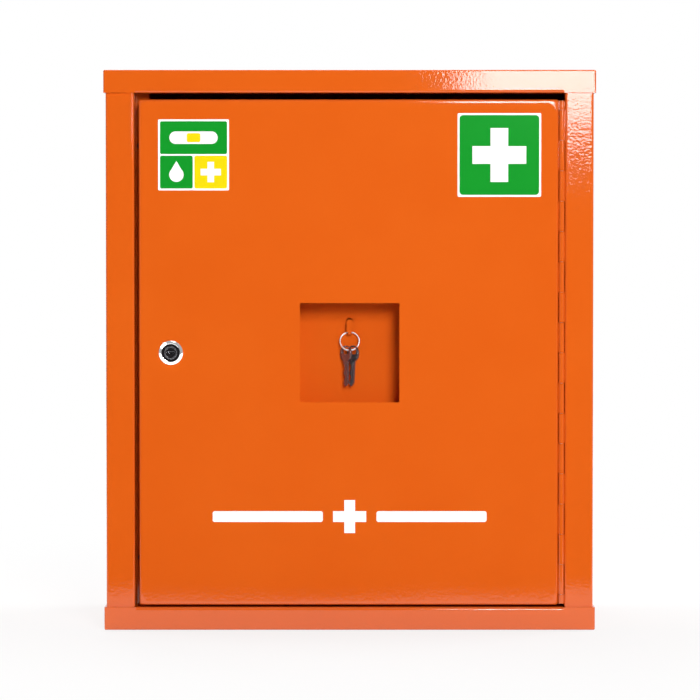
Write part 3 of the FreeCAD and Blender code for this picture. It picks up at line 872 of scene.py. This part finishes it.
@dataclass
class Door:
    """Door pan with the niche, its pane and the stickers on its front."""

    finishes: Finishes
    film: float = 0.12 * MM
    print_step: float = 0.03 * MM
    right_size: float = 73.0 * MM
    right_inset: Point2 = (15.4 * MM, 12.0 * MM)
    left_size: float = 62.0 * MM
    left_inset: Point2 = (17.1 * MM, 17.4 * MM)
    border: float = 1.7 * MM
    corner: float = 1.2 * MM
    field_corner: float = 3.2 * MM
    cross_span: float = 47.0 * MM
    cross_arm: float = 15.4 * MM
    tile_gap: float = 1.4 * MM
    tile_corner: float = 1.6 * MM
    plaster_share: float = 0.72
    plaster_round_share: float = 0.49
    strip_share: float = 0.38
    pad_shares: Point2 = (1.1, 0.72)
    drop_shares: Point2 = (0.22, 0.42)
    drop_sink_share: float = 0.08
    tile_cross_shares: Point2 = (0.62, 0.2)
    mark_rise: float = 77.7 * MM
    mark_width: float = 240.0 * MM
    mark_height: float = 29.0 * MM
    mark_arm: float = 9.5 * MM
    mark_gap: float = 9.0 * MM
    mark_corner: float = 1.9 * MM
    stud_radius: float = 2.0 * MM
    stud_segments: int = 32
    thread_start: float = 3.0 * MM
    thread_pitch: float = 0.7 * MM
    thread_depth: float = 0.25 * MM
    nuts: Rounded = Rounded("niche_nuts", "key_box_nuts", Body.DOOR, Slot.ZINC, 0.35 * MM)

    def dress(self) -> None:
        """Put the finishes on the door's frame nodes."""
        wear("door_panel", self.finishes.door_paint)
        for node in ("door_hinge_leaf", "key_box"):
            wear(node, self.finishes.paint)
        wear("window_gasket", self.finishes.rubber)
        wear("key_window", self.finishes.pane)

    def plate(self, name: str, layer: int, ink: Material, centre: Point2, outline: list[Point2]) -> None:
        """Lay one printed shape on the door.

        Args:
            name: the piece's name.
            layer: 0 for the film on the paint, more for prints on top of it.
            ink: its finish.
            centre: its middle on the door as (x, z).
            outline: its outline about its own middle.
        """
        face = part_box("door_panel")[0].y
        thickness = self.film if layer == 0 else self.print_step
        back = face if layer == 0 else face - self.film - self.print_step * (layer - 1)
        settle(Sheet(name, outline, centre, back, thickness).build(), Body.DOOR, ink)

    def build_cross_sticker(self) -> None:
        """White film with a green field and a plain cross, at the door's upper right."""
        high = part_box("door_panel")[1]
        size = self.right_size
        centre = (high.x - self.right_inset[0] - size / 2, high.z - self.right_inset[1] - size / 2)
        inner = size - 2 * self.border
        for layer, name, ink, outline in (
                (0, "film", self.finishes.white, rounded_box(size, size, self.corner)),
                (1, "field", self.finishes.green, rounded_box(inner, inner, self.field_corner)),
                (2, "cross", self.finishes.white, cross_outline(self.cross_span, self.cross_arm))):
            self.plate(f"cross_sticker_{name}", layer, ink, centre, outline)

    def build_picture_sticker(self) -> None:
        """White film with one wide tile over two small ones, at the door's upper left."""
        low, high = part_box("door_panel")
        white, green, yellow = self.finishes.white, self.finishes.green, self.finishes.yellow
        size = self.left_size
        x, z = low.x + self.left_inset[0] + size / 2, high.z - self.left_inset[1] - size / 2
        wide = size - 2 * self.border
        small = (wide - self.tile_gap) / 2
        shift = (small + self.tile_gap) / 2
        top, left, right = (x, z + shift), (x - shift, z - shift), (x + shift, z - shift)
        drop_place = (left[0], left[1] - small * self.drop_sink_share)
        round_tile = self.tile_corner
        strip = small * self.strip_share
        pad = [strip * share for share in self.pad_shares]
        drop = [small * share for share in self.drop_shares]
        cross = [small * share for share in self.tile_cross_shares]
        for name, layer, ink, place, outline in (
                ("film", 0, white, (x, z), rounded_box(size, size, self.corner)),
                ("wide_tile", 1, green, top, rounded_box(wide, small, round_tile)),
                ("left_tile", 1, green, left, rounded_box(small, small, round_tile)),
                ("right_tile", 1, yellow, right, rounded_box(small, small, round_tile)),
                ("plaster", 2, white, top,
                 rounded_box(wide * self.plaster_share, strip, strip * self.plaster_round_share)),
                ("pad", 3, yellow, top, rounded_box(*pad, round_tile)),
                ("drop", 2, white, drop_place, drop_outline(*drop)),
                ("cross", 2, white, right, cross_outline(*cross))):
            self.plate(f"picture_sticker_{name}", layer, ink, place, outline)

    def build_front_mark(self) -> None:
        """Plain white mark low on the door: a small cross between two bars."""
        x, z = middle("key_window")[0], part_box("door_panel")[0].z + self.mark_rise
        width = (self.mark_width - self.mark_height) / 2 - self.mark_gap
        reach = (self.mark_width - width) / 2
        bar = rounded_box(width, self.mark_arm, self.mark_corner)
        for name, place, outline in (
                ("cross", x, cross_outline(self.mark_height, self.mark_arm)),
                ("left_bar", x - reach, bar),
                ("right_bar", x + reach, bar)):
            self.plate(f"front_mark_{name}", 0, self.finishes.white, (place, z), outline)

    def stud_profile(self, front: float, back: float) -> list[Point2]:
        """Section of a stud with its thread.

        Args:
            front: Y of the stud's welded end.
            back: Y of its free end.

        Returns:
            Points as (radius, y) from the axis to the axis.
        """
        root = self.stud_radius - self.thread_depth
        crest = front + self.thread_start
        points = [(0.0, front), (self.stud_radius, front), (self.stud_radius, crest)]
        while crest + self.thread_pitch < back - self.thread_pitch:
            points.append((root, crest + self.thread_pitch / 2))
            crest += self.thread_pitch
            points.append((self.stud_radius, crest))
        return points + [(root - self.thread_depth, back), (0.0, back)]

    def build_studs(self) -> None:
        """Threaded studs at the niche's corners and the rounded nuts on them."""
        low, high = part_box("key_box_studs")
        x, z = middle("key_box_studs")
        stud = turned("stud", self.stud_profile(low.y, high.y), (0.0, 0.0), self.stud_segments)
        pad = ShapePad("niche_studs", {"Width": high.x - low.x - 2 * self.stud_radius,
                                       "Height": high.z - low.z - 2 * self.stud_radius,
                                       "Middle": Vector((x, 0.0, z))})
        corners = pad.add("GeometryNodeMeshGrid", Size_X=pad.inputs["Width"], Size_Y=pad.inputs["Height"],
                          Vertices_X=2, Vertices_Y=2)
        upright = pad.add("GeometryNodeTransform", Geometry=corners, Translation=pad.inputs["Middle"],
                          Rotation=(math.pi / 2, 0.0, 0.0))
        source = pad.add("GeometryNodeObjectInfo", Object=stud).outputs["Geometry"]
        studs = pad.add("GeometryNodeInstanceOnPoints", Points=upright, Instance=source)
        piece = pad.grow(studs, self.finishes.zinc)
        bpy.data.objects.remove(stud)
        settle(piece, Body.DOOR, self.finishes.zinc)
        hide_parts("key_box_studs")
        self.nuts.build(self.finishes)

    def build(self) -> None:
        """Make the studs, the stickers and the mark."""
        self.build_studs()
        self.build_cross_sticker()
        self.build_picture_sticker()
        self.build_front_mark()


@dataclass
class Lock:
    """Cam lock: chrome rosette on a threaded barrel, rimmed plug, nut, cam and screw."""

    finishes: Finishes
    slope: float = 1.9 * MM
    bulge: float = 0.1 * MM
    slope_steps: int = 10
    ring_flat: float = 0.4 * MM
    ring_round_shares: tuple[Point2, Point2] = ((0.3, 0.2), (0.0, 0.8))
    recess_radius: float = 7.8 * MM
    recess_depth: float = 1.0 * MM
    bore: float = 5.65 * MM
    barrel_radius: float = 9.0 * MM
    barrel_flat: float = 8.0 * MM
    thread_pitch: float = 1.0 * MM
    thread_depth: float = 0.35 * MM
    segments: int = 128
    slack: float = 0.01 * MM
    plug_rim: float = 1.0 * MM
    plug_black_depth: float = 8.0 * MM
    front_facing: float = -0.9
    plug: Rounded = Rounded("lock_plug_smooth", "lock_plug", Body.LOCK, Slot.LOCK_FACE, 0.14 * MM)
    rounded: tuple[Rounded, ...] = (
        Rounded("lock_nut_smooth", "lock_nut", Body.DOOR, Slot.ZINC, 0.4 * MM),
        Rounded("lock_cam_smooth", "lock_cam", Body.LOCK, Slot.ZINC, 0.3 * MM),
        Rounded("cam_screw_smooth", "cam_screw", Body.LOCK, Slot.ZINC, 0.35 * MM))

    def housing_profile(self, radius: float, front: float, face: float, back: float) -> list[Point2]:
        """Section of the rosette with its sloped rim and of the threaded barrel behind it.

        Args:
            radius: the rosette's radius.
            front: its foremost Y.
            face: Y of the door's front.
            back: Y of the barrel's end.

        Returns:
            Points as (radius, y) of a section that closes on itself.
        """
        root = self.barrel_radius - self.thread_depth
        inner = self.recess_radius
        crown = inner + self.ring_flat
        points = [(root, face), (radius, face)]
        for step in range(self.slope_steps + 1):
            share = step / self.slope_steps
            bow = self.bulge * 4 * share * (1 - share)
            points.append((radius - (radius - crown) * share, front + self.slope * (1 - share) - bow))
        points += [(inner + self.ring_flat * out, front + self.ring_flat * down)
                   for out, down in self.ring_round_shares]
        floor = front + self.recess_depth
        points += [(inner, floor), (self.bore, floor), (self.bore, back), (root, back)]
        for step in range(int((back - face) / self.thread_pitch) - 1, 0, -1):
            crest = face + (step + 0.5) * self.thread_pitch
            points += [(self.barrel_radius, crest), (root, crest - self.thread_pitch / 2)]
        return points

    def build_housing(self) -> None:
        """Turn the rosette and its barrel, press two flats on the barrel, and black out its recess as
        painted shade.
        """
        low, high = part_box("lock_housing")
        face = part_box("door_panel")[0].y
        centre = middle("lock_housing")
        profile = self.housing_profile((high.x - low.x) / 2, low.y, face, high.y)
        housing = turned("lock_rosette", profile, centre, self.segments, True)
        for vertex in housing.data.vertices:
            if vertex.co.y > face + self.slack:
                rise = vertex.co.z - centre[1]
                vertex.co.z = centre[1] + max(-self.barrel_flat, min(self.barrel_flat, rise))
        settle(housing, Body.DOOR, self.finishes.chrome)
        # The recess's floor and walls get black: painted shade for the dark gap between the plug and the
        # rosette.
        self.blacken_dish_and_shade(housing, centre, self.recess_radius + self.slack, face, False)
        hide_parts("lock_housing")

    def blacken_dish_and_shade(self, piece: Piece, centre: Point2, reach: float, depth: float, flat_only: bool) -> None:
        """Give the sunk faces near the lock's axis a black finish, which in the rosette's recess is
        painted shade.

        Args:
            piece: the piece, already dressed in its own finish.
            centre: the lock's axis as (x, z).
            reach: faces that come farther from the axis keep their finish.
            depth: faces behind this Y keep their finish.
            flat_only: True to blacken only faces that look to the front.
        """
        mesh = piece.data
        mesh.materials.append(self.finishes.black_and_painted_shade)
        for face in mesh.polygons:
            corners = [mesh.vertices[index].co for index in face.vertices]
            off = max(math.hypot(corner.x - centre[0], corner.z - centre[1]) for corner in corners)
            turned_away = flat_only and face.normal.y > self.front_facing
            if off < reach and face.center.y < depth and not turned_away:
                face.material_index = 1

    def build_plug(self) -> None:
        """Make the plug, black inside its rim."""
        low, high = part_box("lock_plug")
        reach = (high.x - low.x) / 2 - self.plug_rim
        piece = self.plug.build(self.finishes)
        self.blacken_dish_and_shade(piece, middle("lock_plug"), reach, low.y + self.plug_black_depth, True)

    def build(self) -> None:
        """Make the lock's pieces."""
        self.build_housing()
        self.build_plug()
        for piece in self.rounded:
            piece.build(self.finishes)


@dataclass(frozen=True)
class HungKey:
    """A key, the joint that it hangs on, its turn about Z and its lean about Y."""

    piece: Rounded
    joint: str
    twist_deg: float
    lean_deg: float


@dataclass
class Keys:
    """Split ring and the two keys that hang on it."""

    finishes: Finishes
    ring_radius: float = 8.5 * MM
    wire: float = 1.0 * MM
    pitch: float = 1.5 * MM
    turns: float = 1.9
    top_turn: float = 0.2
    tilt_deg: float = 18.0
    wire_sides: int = 16
    turn_steps: int = 72
    key_half: float = 0.9 * MM
    groove_depth: float = 0.4 * MM
    groove_bar: float = 1.6 * MM
    groove_span: Point2 = (-31.0 * MM, -10.5 * MM)
    grooves: tuple[Point2, Point2] = ((-1.5 * MM, -0.5 * MM), (0.3 * MM, 0.9 * MM))
    keys: tuple[HungKey, HungKey] = (
        HungKey(Rounded("door_key_smooth", "door_key", Body.FIRST_KEY, Slot.KEY_STEEL, 0.14 * MM),
                "key_swing", 40.0, 0.0),
        HungKey(Rounded("spare_key_smooth", "spare_key", Body.SECOND_KEY, Slot.KEY_STEEL, 0.14 * MM),
                "spare_key_swing", 42.0, 3.0))

    def joint_place(self, name: str) -> Vector:
        """Place of a joint of the record."""
        joints = frame["record"]["behaviour"]["joints"]
        return Vector(next(joint["pos_m"] for joint in joints if joint["name"] == name))

    def groove_cutters(self, key: HungKey) -> tuple[Piece, ...]:
        """Bars that mill one groove into each face of a key's blade.

        Args:
            key: the key.

        Returns:
            One bar for each face.
        """
        place = (Matrix.Translation(self.joint_place(key.joint))
                 @ Matrix.Rotation(math.radians(key.lean_deg), 4, "Y")
                 @ Matrix.Rotation(math.radians(key.twist_deg), 4, "Z"))
        tip, shoulder = self.groove_span
        reach = self.key_half - self.groove_depth + self.groove_bar / 2
        bars = []
        for side, (low, high) in zip((-1, 1), self.grooves):
            shift = Matrix.Translation((side * reach, (low + high) / 2, (tip + shoulder) / 2))
            size = Matrix.Diagonal((self.groove_bar, high - low, shoulder - tip, 1.0))
            shape = bmesh.new()
            bmesh.ops.create_cube(shape, size=1.0, matrix=place @ shift @ size)
            bars.append(object_from("groove_bar", shape))
        return tuple(bars)

    def ring_place(self) -> Matrix:
        """Frame of the ring's coil, so that the gap at the ring's top lies over the hook.

        Returns:
            The coil's place, with its axis along its own Z.
        """
        start = math.radians(-360 * self.top_turn)
        first = Vector((-math.sin(start), 0.0, math.cos(start)))
        along = Vector((0.0, 1.0, 0.0))
        turn = Matrix((first, along.cross(first), along)).transposed().to_4x4()
        half_rise = self.pitch * self.turns / 2
        top = Vector((0.0, self.pitch * (self.top_turn + 0.5) - half_rise, self.ring_radius))
        tilt = Matrix.Rotation(math.radians(-self.tilt_deg), 4, "X")
        shift = Matrix.Translation(Vector((0.0, -half_rise, 0.0)) - top)
        return Matrix.Translation(self.joint_place("ring_swing")) @ tilt @ shift @ turn

    def build_ring(self) -> None:
        """Wind the split ring where its frame node hangs."""
        place = self.ring_place()
        pad = ShapePad("split_ring", {"Ring Radius": self.ring_radius, "Wire Radius": self.wire / 2,
                                      "Rise": self.pitch * self.turns, "Turns": self.turns})
        coil = pad.add("GeometryNodeCurveSpiral", Resolution=self.turn_steps, Reverse=True,
                       Rotations=pad.inputs["Turns"], Start_Radius=pad.inputs["Ring Radius"],
                       End_Radius=pad.inputs["Ring Radius"], Height=pad.inputs["Rise"])
        section = pad.add("GeometryNodeCurvePrimitiveCircle", Resolution=self.wire_sides,
                          Radius=pad.inputs["Wire Radius"])
        sweep = pad.add("GeometryNodeCurveToMesh", Curve=coil, Profile_Curve=section, Fill_Caps=True)
        hung = pad.add("GeometryNodeTransform", Geometry=sweep, Translation=place.translation,
                       Rotation=place.to_euler())
        ring = pad.grow(hung, self.finishes.ring_steel)
        settle(ring, Body.RING, self.finishes.ring_steel)
        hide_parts("key_ring")

    def build(self) -> None:
        """Make the ring and the keys."""
        self.build_ring()
        for key in self.keys:
            key.piece.build(self.finishes, self.groove_cutters(key))


@dataclass(frozen=True)
class Lamp:
    """Square soft light that faces the cabinet's middle, with its power in watts."""

    name: str
    place: Triple
    size: float
    power: float

    def build(self) -> None:
        """Hang the lamp."""
        data = bpy.data.lights.new(self.name, "AREA")
        data.shape = "SQUARE"
        data.size = self.size
        data.energy = self.power
        light = bpy.data.objects.new(self.name, data)
        light.location = self.place
        light.visible_camera = False
        aim = (CAD_BOUNDS[0] + CAD_BOUNDS[1]) / 2 - Vector(self.place)
        light.rotation_euler = aim.to_track_quat("-Z", "Y").to_euler()
        bpy.context.scene.collection.objects.link(light)


@dataclass
class Studio:
    """Floor, soft lights, white surroundings and the camera."""

    camera_x: float = 0.0003
    camera_distance: float = 2.6
    pitch_deg: float = 1.6
    aim_height: float = 0.24556
    lens: float = 153.1
    sensor: float = 36.0
    floor_half: float = 4.0
    floor_drop: float = 0.0004
    floor_tone: float = 0.72
    floor_glow: float = 0.8
    shadow_reach: Point2 = (0.3, 1.0)
    shine_edge: Point2 = (0.62, 0.57)
    shine: Point2 = (0.01, 2.3)
    window_side: Triple = (-0.73, -0.22, 0.64)
    window_cone: Point2 = (0.93, 0.95)
    window_light: float = 3.0
    ambient: float = 0.01
    room_light: tuple[Point2, ...] = ((0.02, 0.01), (0.1, 0.4), (0.5, 0.55), (0.65, 1.0))
    lamps: tuple[Lamp, ...] = (
        Lamp("key_light", (0.67, -3.74, 1.114), 0.68, 44.0),
        Lamp("high_light", (0.78, -3.35, 1.6), 1.0, 81.0),
        Lamp("top_light", (0.2, 0.4, 2.3), 1.6, 16.0),
        Lamp("left_light", (-1.9, 0.7, 2.1), 1.6, 40.0),
        Lamp("right_light", (1.9, 0.7, 2.1), 1.6, 40.0),
        Lamp("back_light", (-0.5, 2.2, 2.1), 1.6, 34.0))

    def build_camera(self) -> None:
        """Put the camera in front of the door, a little above its middle."""
        data = bpy.data.cameras.new("camera")
        data.lens = self.lens
        data.sensor_width = self.sensor
        camera = bpy.data.objects.new("camera", data)
        rise = self.camera_distance * math.tan(math.radians(self.pitch_deg))
        camera.location = (self.camera_x, CAD_BOUNDS[0].y - self.camera_distance, self.aim_height + rise)
        camera.rotation_euler = (math.radians(90 - self.pitch_deg), 0.0, 0.0)
        bpy.context.scene.collection.objects.link(camera)
        bpy.context.scene.camera = camera

    def floor_finish(self) -> Material:
        """White to the camera with a faint shadow, and in reflections bright near the cabinet.

        Returns:
            The floor's material.
        """
        pad = FinishPad("studio_floor")
        rays = pad.add("ShaderNodeLightPath").outputs
        front = CAD_BOUNDS[0].y
        edge = (front - self.shine_edge[0], front - self.shine_edge[1])
        near = pad.spread(pad.along(pad.place, (0.0, 1.0, 0.0)), *self.shine, edge, Fade.SOFT)
        away = pad.add("ShaderNodeVectorMath", "LENGTH", pad.place).outputs["Value"]
        lit = pad.spread(away, self.floor_glow, 1.0, self.shadow_reach, Fade.SOFT)
        seen = pad.reckon("MULTIPLY_ADD", rays["Is Camera Ray"], lit, rays["Is Glossy Ray"])
        share = pad.reckon("MINIMUM", pad.reckon("ADD", seen, rays["Is Transmission Ray"]), 1.0)
        matt = pad.add("ShaderNodeBsdfDiffuse", Color=(*[self.floor_tone] * 3, 1.0))
        strength = pad.mixed(rays["Is Glossy Ray"], 1.0, near)
        glow = pad.add("ShaderNodeEmission", Color=WHITE, Strength=strength)
        return pad.finish(pad.layered(share, matt, glow))

    def build_floor(self) -> None:
        """Lay the floor just under the cabinet."""
        shape = bmesh.new()
        bmesh.ops.create_grid(shape, x_segments=1, y_segments=1, size=self.floor_half,
                              matrix=Matrix.Translation((0.0, 0.0, -self.floor_drop)))
        floor = linked("floor", shape)
        floor.data.materials.append(self.floor_finish())

    def build_world(self) -> None:
        """White to the camera, faint as light, and in reflections a room with a window."""
        world = bpy.data.worlds.new("studio")
        world.use_nodes = True
        world.node_tree.nodes.clear()
        bpy.context.scene.world = world
        pad = NodePad(world.node_tree)
        rays = pad.add("ShaderNodeLightPath").outputs
        side = pad.add("ShaderNodeTexCoord").outputs["Generated"]
        behind = pad.spread(pad.along(side, (0.0, 1.0, 0.0)), 0.0, 1.0, (-1.0, 1.0))
        room = pad.add("ShaderNodeValToRGB", Fac=behind)
        stops = room.color_ramp.elements
        stops[0].position, stops[1].position = self.room_light[0][0], self.room_light[1][0]
        for share, _ in self.room_light[2:]:
            stops.new(share)
        for stop, (_, light) in zip(stops, self.room_light):
            stop.color = (light, light, light, 1.0)
        toward = pad.along(side, Vector(self.window_side).normalized())
        window = pad.spread(toward, 0.0, self.window_light, self.window_cone)
        glints = pad.reckon("ADD", room, window)
        light = pad.mixed(rays["Is Glossy Ray"], self.ambient, glints)
        direct = pad.reckon("MAXIMUM", rays["Is Camera Ray"], rays["Is Transmission Ray"])
        background = pad.add("ShaderNodeBackground", Color=WHITE, Strength=pad.mixed(direct, light, 1.0))
        pad.add("ShaderNodeOutputWorld", Surface=background)

    def build(self) -> None:
        """Make the whole studio."""
        self.build_camera()
        self.build_floor()
        self.build_world()
        for lamp in self.lamps:
            lamp.build()
        bpy.context.scene.view_settings.view_transform = "Standard"


def main() -> None:
    """Dress and build every part of the cabinet, then the studio."""
    logging.basicConfig(level=logging.INFO)
    finishes = Finishes()
    carcass, door = Carcass(finishes), Door(finishes)
    for part in (carcass, door):
        part.dress()
    for part in (carcass, door, Lock(finishes), Keys(finishes)):
        part.build()
    Studio().build()


if __name__ == "__main__":
    main()
